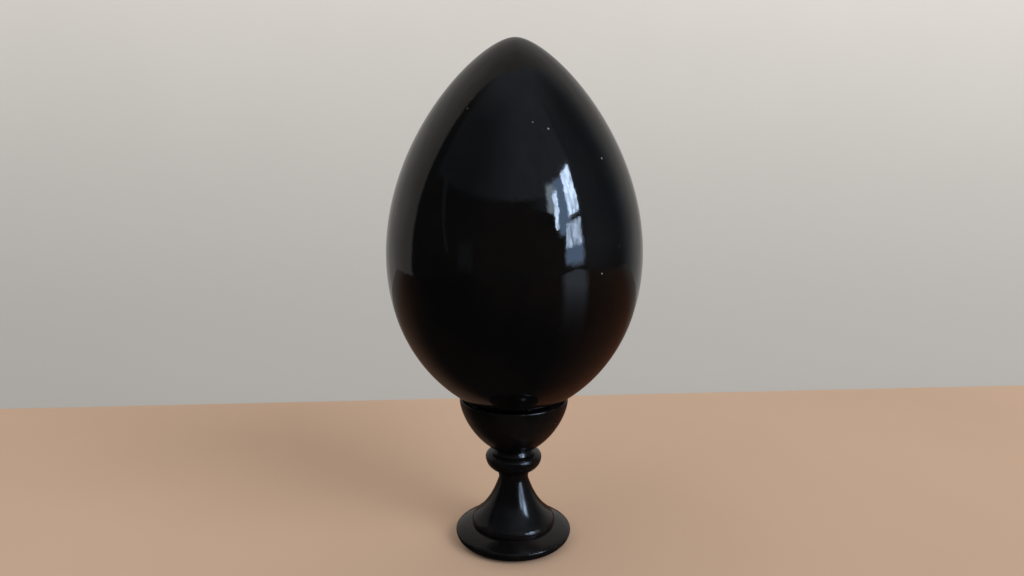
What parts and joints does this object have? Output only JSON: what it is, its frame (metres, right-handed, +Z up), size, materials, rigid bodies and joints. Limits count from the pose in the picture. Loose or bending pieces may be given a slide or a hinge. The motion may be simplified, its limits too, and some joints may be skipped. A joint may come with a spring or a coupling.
{
  "type": "decorative egg on stand",
  "caption": "Glossy black lacquered wooden egg, point up, in the cup of a small turned pedestal stand; it turns on a hidden dowel peg and lifts off.",
  "frame": {"origin": "centre of the stand's flat underside, on the turning axis", "axes": "+Z up along the common turning axis of stand, peg and egg; +X to the right and +Y away from the viewer"},
  "size_m": [0.0702, 0.0702, 0.1423],
  "materials": {
    "stand_lacquer": "turned hardwood under gloss black lacquer, slightly worn on its edges",
    "egg_lacquer": "turned limewood under polished high-gloss black lacquer",
    "peg_wood": "bare sanded limewood dowel"
  },
  "bodies": {
    "stand": {"stand": "stand_lacquer"},
    "peg": {"locating_peg": "peg_wood"},
    "egg": {"egg": "egg_lacquer"}
  },
  "joints": [
    {"name": "egg_turn", "type": "hinge", "parent": "stand", "child": "peg", "pos_m": [0, 0, 0.0388], "axis": [0, 0, 1], "continuous": true},
    {"name": "egg_lift", "type": "slide", "parent": "peg", "child": "egg", "axis": [0, 0, 1], "range_m": [0, 0.04]}
  ]
}
